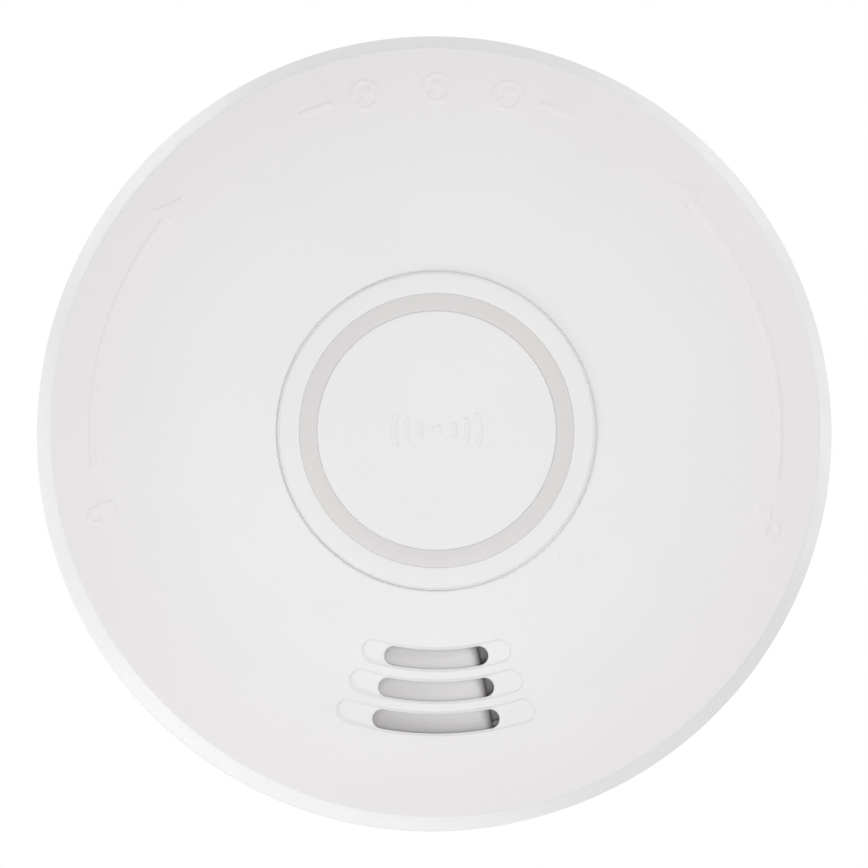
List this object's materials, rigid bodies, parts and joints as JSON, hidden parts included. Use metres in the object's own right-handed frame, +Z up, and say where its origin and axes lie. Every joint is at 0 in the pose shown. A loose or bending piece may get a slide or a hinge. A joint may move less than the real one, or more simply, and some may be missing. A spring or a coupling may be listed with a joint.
{
  "type": "smoke detector",
  "caption": "Round white smoke alarm on a twist-lock wall plate, with a large test button, a light ring, arc-shaped sound slots and smoke inlets round its side.",
  "frame": {"origin": "centre of the mounting plate in the plane of its back face, which lies on the wall", "axes": "+Z up, +Y into the wall, so the face with the test button looks along -Y; +X to the right of someone facing the alarm"},
  "size_m": [0.1, 0.0378, 0.1],
  "materials": {
    "plate_plastic": "fine spark-eroded texture, white",
    "housing_plastic": "fine spark-eroded texture, white",
    "cover_plastic": "fine spark-eroded texture, white",
    "button_plastic": "fine spark-eroded texture, white",
    "diffuser_plastic": "milky translucent, faintly pink grey",
    "spring_steel": "drawn wire",
    "board_laminate": "green solder mask",
    "chip_resin": "moulded epoxy",
    "chip_ceramic": "fired ceramic with tinned ends",
    "capacitor_can": "drawn can",
    "coil_ferrite": "ferrite with copper winding",
    "switch_body": "moulded nylon",
    "switch_plunger": "moulded nylon",
    "led_resin": "tinted clear resin",
    "chamber_plastic": "matt black, made to swallow light",
    "screen_mesh": "fine woven mesh",
    "emitter_resin": "blue-tinted clear resin",
    "receiver_resin": "dark daylight-blocking resin",
    "sounder_plastic": "light grey moulding",
    "piezo_brass": "rolled sheet",
    "piezo_ceramic": "silvered ceramic",
    "contact_metal": "nickel-plated strip",
    "battery_wrap": "plain shrink sleeve",
    "cradle_plastic": "white moulding",
    "screw_steel": "bright zinc",
    "label_film": "silvered film with plain printed bars"
  },
  "bodies": {
    "bracket": {"mounting_plate": "plate_plastic"},
    "head": {"rear_housing": "housing_plastic", "front_cover": "cover_plastic", "button_spring": "spring_steel", "circuit_board": "board_laminate", "control_chip": "chip_resin", "chip_parts": "chip_ceramic", "capacitors": "capacitor_can", "boost_coil": "coil_ferrite", "tact_switch": "switch_body", "indicator_leds": "led_resin", "chamber_base": "chamber_plastic", "chamber_labyrinth": "chamber_plastic", "insect_screen": "screen_mesh", "ir_emitter": "emitter_resin", "photodiode": "receiver_resin", "sounder_housing": "sounder_plastic", "piezo_disc": "piezo_brass", "piezo_element": "piezo_ceramic", "sounder_contacts": "contact_metal", "battery_cell": "battery_wrap", "battery_cradle": "cradle_plastic", "battery_tabs": "contact_metal", "board_screws": "screw_steel", "housing_screws": "screw_steel", "rear_label": "label_film"},
    "button": {"test_button": "button_plastic", "light_ring": "diffuser_plastic"},
    "plunger": {"switch_plunger": "switch_plunger"}
  },
  "joints": [
    {"name": "head_twist", "type": "hinge", "parent": "bracket", "child": "head", "pos_m": [0, 0, 0], "axis": [0, -1, 0], "range_deg": [0, 13]},
    {"name": "button_press", "type": "slide", "parent": "head", "child": "button", "axis": [0, 1, 0], "range_m": [0, 0.0006], "stiffness_N_per_m": 1500, "springref_m": -0.0008, "deforming": ["button_spring"]},
    {"name": "switch_press", "type": "slide", "parent": "head", "child": "plunger", "axis": [0, 1, 0], "range_m": [0, 0.0006]}
  ],
  "couplings": [
    {"joint": "switch_press", "follows": "button_press", "ratio": 1}
  ]
}
